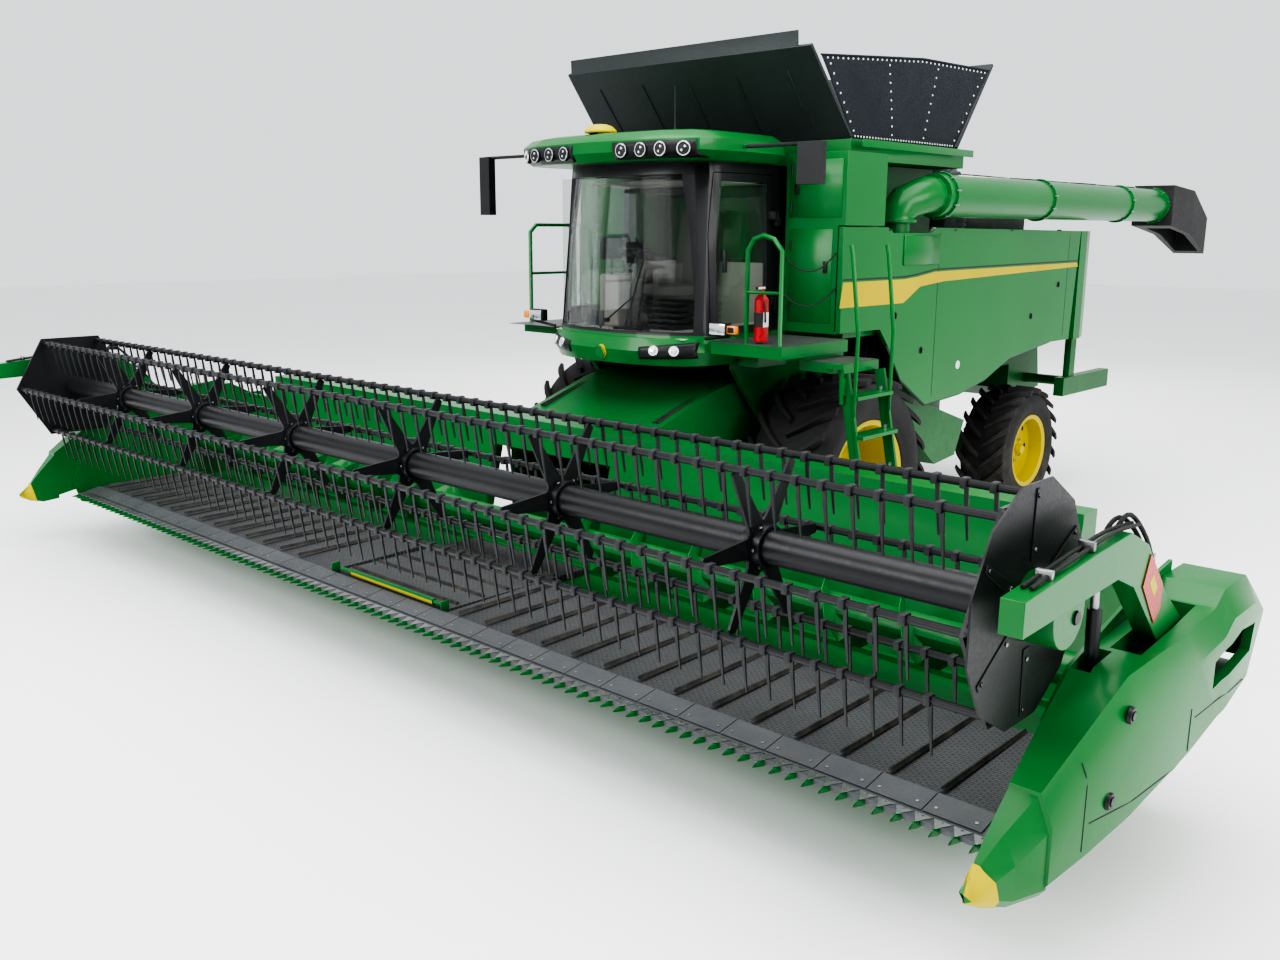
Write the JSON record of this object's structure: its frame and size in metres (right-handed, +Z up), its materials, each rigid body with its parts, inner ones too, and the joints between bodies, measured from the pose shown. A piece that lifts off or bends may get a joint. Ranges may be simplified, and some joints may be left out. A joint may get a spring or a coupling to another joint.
{
  "type": "combine harvester",
  "caption": "Wheeled combine harvester with cab, grain tank and folding unloading auger, carrying a wide draper header with a tined pick-up reel.",
  "frame": {"origin": "on the ground, under the middle of the bounding box", "axes": "+X machine left, -Y front, +Z up"},
  "size_m": [11.1, 13.1, 4.8399],
  "materials": {
    "green_paint": "gloss",
    "yellow_paint": "gloss",
    "black_paint": "satin",
    "grey_panel": "matte",
    "tarpaulin": "matte",
    "tyre_rubber": "matte",
    "belt_rubber": "matte",
    "spout_rubber": "matte",
    "tinted_glass": "gloss",
    "seat_cloth": "matte",
    "bare_steel": "brushed",
    "engine_grey": "matte"
  },
  "bodies": {
    "body": {"main_frame": "green_paint", "front_axle": "green_paint", "rear_axle": "green_paint", "grain_tank": "green_paint", "tank_tarp_left": "tarpaulin", "tank_tarp_right": "tarpaulin", "engine": "engine_grey", "rear_hood": "green_paint", "straw_chopper": "green_paint", "cab_body": "green_paint", "windscreen": "tinted_glass", "cab_roof": "green_paint", "operator_seat": "seat_cloth", "steering_column": "black_paint", "platform_left": "green_paint", "platform_right": "green_paint"},
    "front_wheel_left": {"front_tyre_left": "tyre_rubber", "front_rim_left": "yellow_paint"},
    "front_wheel_right": {"front_tyre_right": "tyre_rubber", "front_rim_right": "yellow_paint"},
    "knuckle_left": {"steering_knuckle_left": "green_paint"},
    "knuckle_right": {"steering_knuckle_right": "green_paint"},
    "rear_wheel_left": {"rear_tyre_left": "tyre_rubber", "rear_rim_left": "yellow_paint"},
    "rear_wheel_right": {"rear_tyre_right": "tyre_rubber", "rear_rim_right": "yellow_paint"},
    "side_panel_left": {"side_panel_left": "green_paint"},
    "side_panel_right": {"side_panel_right": "green_paint"},
    "cab_door": {"cab_door": "black_paint"},
    "ladder": {"ladder": "green_paint"},
    "tank_cover_front": {"tank_cover_front": "grey_panel"},
    "tank_cover_rear": {"tank_cover_rear": "grey_panel"},
    "unloading_auger": {"unloading_auger": "green_paint", "auger_spout": "spout_rubber"},
    "feeder_house": {"feeder_house": "green_paint"},
    "lift_barrels": {"lift_barrels": "black_paint"},
    "lift_rods": {"lift_rods": "bare_steel"},
    "header": {"header_frame": "green_paint", "draper_belt_left": "belt_rubber", "draper_belt_right": "belt_rubber", "feed_belt": "belt_rubber", "cutterbar": "grey_panel", "end_shield_left": "green_paint", "end_shield_right": "green_paint"},
    "cross_auger": {"cross_auger": "green_paint"},
    "reel_arms": {"reel_arm_left": "green_paint", "reel_arm_right": "green_paint"},
    "reel_barrel_left": {"reel_barrel_left": "black_paint"},
    "reel_barrel_right": {"reel_barrel_right": "black_paint"},
    "reel_rod_left": {"reel_rod_left": "bare_steel"},
    "reel_rod_right": {"reel_rod_right": "bare_steel"},
    "reel_core": {"reel_core": "black_paint"},
    "control_disc": {"reel_control_disc": "black_paint"},
    "bat_1": {"reel_bat_1": "black_paint"},
    "bat_2": {"reel_bat_2": "black_paint"},
    "bat_3": {"reel_bat_3": "black_paint"},
    "bat_4": {"reel_bat_4": "black_paint"},
    "bat_5": {"reel_bat_5": "black_paint"},
    "bat_6": {"reel_bat_6": "black_paint"}
  },
  "joints": [
    {"name": "wheel_front_left", "type": "hinge", "parent": "body", "child": "front_wheel_left", "pos_m": [1.395, -1.73, 0.985], "axis": [1, 0, 0], "continuous": true},
    {"name": "wheel_front_right", "type": "hinge", "parent": "body", "child": "front_wheel_right", "pos_m": [-1.395, -1.73, 0.985], "axis": [1, 0, 0], "continuous": true},
    {"name": "steer_left", "type": "hinge", "parent": "body", "child": "knuckle_left", "pos_m": [0.8, 2.08, 0.735], "axis": [0, 0, 1], "range_deg": [-30, 30]},
    {"name": "steer_right", "type": "hinge", "parent": "body", "child": "knuckle_right", "pos_m": [-0.8, 2.08, 0.735], "axis": [0, 0, 1], "range_deg": [-30, 30]},
    {"name": "wheel_rear_left", "type": "hinge", "parent": "knuckle_left", "child": "rear_wheel_left", "pos_m": [1.25, 2.08, 0.735], "axis": [1, 0, 0], "continuous": true},
    {"name": "wheel_rear_right", "type": "hinge", "parent": "knuckle_right", "child": "rear_wheel_right", "pos_m": [-1.25, 2.08, 0.735], "axis": [1, 0, 0], "continuous": true},
    {"name": "feeder_lift", "type": "hinge", "parent": "body", "child": "feeder_house", "pos_m": [0, -1.83, 1.62], "axis": [-1, 0, 0], "range_deg": [-5.9, 12.5]},
    {"name": "lift_barrel_swing", "type": "hinge", "parent": "body", "child": "lift_barrels", "pos_m": [0, -1.97, 0.74], "axis": [-1, 0, 0], "range_deg": [-6.87, 14.54]},
    {"name": "lift_rod_slide", "type": "slide", "parent": "lift_barrels", "child": "lift_rods", "axis": [0, -0.9947, -0.1029], "range_m": [-0.0913, 0.1933]},
    {"name": "header_tilt", "type": "hinge", "parent": "feeder_house", "child": "header", "pos_m": [0, -3.75, 1.49], "axis": [0, 1, 0], "range_deg": [-3, 3]},
    {"name": "cross_auger_spin", "type": "hinge", "parent": "header", "child": "cross_auger", "pos_m": [0, -4.5, 0.86], "axis": [1, 0, 0], "continuous": true},
    {"name": "reel_lift", "type": "hinge", "parent": "header", "child": "reel_arms", "pos_m": [0, -4.81, 1.29], "axis": [-1, 0, 0], "range_deg": [-6, 18]},
    {"name": "reel_barrel_swing_left", "type": "hinge", "parent": "header", "child": "reel_barrel_left", "pos_m": [5.225, -5.45, 1.1], "axis": [-1, 0, 0], "range_deg": [-4.44, 13.33]},
    {"name": "reel_rod_slide_left", "type": "slide", "parent": "reel_barrel_left", "child": "reel_rod_left", "axis": [0, -0.0605, 0.9982], "range_m": [-0.0678, 0.2034]},
    {"name": "reel_barrel_swing_right", "type": "hinge", "parent": "header", "child": "reel_barrel_right", "pos_m": [-5.225, -5.45, 1.1], "axis": [-1, 0, 0], "range_deg": [-4.44, 13.33]},
    {"name": "reel_rod_slide_right", "type": "slide", "parent": "reel_barrel_right", "child": "reel_rod_right", "axis": [0, -0.0605, 0.9982], "range_m": [-0.0678, 0.2034]},
    {"name": "reel_spin", "type": "hinge", "parent": "reel_arms", "child": "reel_core", "pos_m": [0, -5.93, 1.654], "axis": [1, 0, 0], "continuous": true},
    {"name": "control_disc_spin", "type": "hinge", "parent": "reel_arms", "child": "control_disc", "pos_m": [0, -6, 1.689], "axis": [1, 0, 0], "continuous": true},
    {"name": "bat_1_turn", "type": "hinge", "parent": "reel_core", "child": "bat_1", "pos_m": [0, -5.43, 1.654], "axis": [1, 0, 0], "continuous": true},
    {"name": "bat_2_turn", "type": "hinge", "parent": "reel_core", "child": "bat_2", "pos_m": [0, -5.68, 2.08701], "axis": [1, 0, 0], "continuous": true},
    {"name": "bat_3_turn", "type": "hinge", "parent": "reel_core", "child": "bat_3", "pos_m": [0, -6.18, 2.08701], "axis": [1, 0, 0], "continuous": true},
    {"name": "bat_4_turn", "type": "hinge", "parent": "reel_core", "child": "bat_4", "pos_m": [0, -6.43, 1.654], "axis": [1, 0, 0], "continuous": true},
    {"name": "bat_5_turn", "type": "hinge", "parent": "reel_core", "child": "bat_5", "pos_m": [0, -6.18, 1.22099], "axis": [1, 0, 0], "continuous": true},
    {"name": "bat_6_turn", "type": "hinge", "parent": "reel_core", "child": "bat_6", "pos_m": [0, -5.68, 1.22099], "axis": [1, 0, 0], "continuous": true},
    {"name": "auger_swing", "type": "hinge", "parent": "body", "child": "unloading_auger", "pos_m": [1.42, -0.93, 3.53], "axis": [0, 0, -1], "range_deg": [0, 105]},
    {"name": "tank_cover_front_tilt", "type": "hinge", "parent": "body", "child": "tank_cover_front", "pos_m": [0, -1.8, 3.99], "axis": [-1, 0, 0], "range_deg": [0, 122], "deforming": ["tank_tarp_left", "tank_tarp_right"]},
    {"name": "tank_cover_rear_tilt", "type": "hinge", "parent": "body", "child": "tank_cover_rear", "pos_m": [0, 0.05, 3.99], "axis": [1, 0, 0], "range_deg": [0, 128]},
    {"name": "cab_door_swing", "type": "hinge", "parent": "body", "child": "cab_door", "pos_m": [0.955, -2.15, 3], "axis": [0, 0, 1], "range_deg": [0, 80]},
    {"name": "side_panel_left_swing", "type": "hinge", "parent": "body", "child": "side_panel_left", "pos_m": [1.59, 0.27, 3.23], "axis": [0, -1, 0], "range_deg": [0, 60]},
    {"name": "side_panel_right_swing", "type": "hinge", "parent": "body", "child": "side_panel_right", "pos_m": [-1.59, 0.27, 3.23], "axis": [0, 1, 0], "range_deg": [0, 60]},
    {"name": "ladder_swing", "type": "hinge", "parent": "body", "child": "ladder", "pos_m": [2.06, -2.72, 1.5], "axis": [0, 0, -1], "range_deg": [0, 160]}
  ],
  "couplings": [
    {"joint": "steer_right", "follows": "steer_left", "ratio": 1},
    {"joint": "lift_barrel_swing", "follows": "feeder_lift", "ratio": 1.1407},
    {"joint": "lift_rod_slide", "follows": "feeder_lift", "m_per_rad": 0.86884},
    {"joint": "reel_barrel_swing_left", "follows": "reel_lift", "ratio": 0.72609},
    {"joint": "reel_rod_slide_left", "follows": "reel_lift", "m_per_rad": 0.63466},
    {"joint": "reel_barrel_swing_right", "follows": "reel_lift", "ratio": 0.72609},
    {"joint": "reel_rod_slide_right", "follows": "reel_lift", "m_per_rad": 0.63466},
    {"joint": "control_disc_spin", "follows": "reel_spin", "ratio": 1},
    {"joint": "bat_1_turn", "follows": "reel_spin", "ratio": -1},
    {"joint": "bat_2_turn", "follows": "reel_spin", "ratio": -1},
    {"joint": "bat_3_turn", "follows": "reel_spin", "ratio": -1},
    {"joint": "bat_4_turn", "follows": "reel_spin", "ratio": -1},
    {"joint": "bat_5_turn", "follows": "reel_spin", "ratio": -1},
    {"joint": "bat_6_turn", "follows": "reel_spin", "ratio": -1}
  ]
}
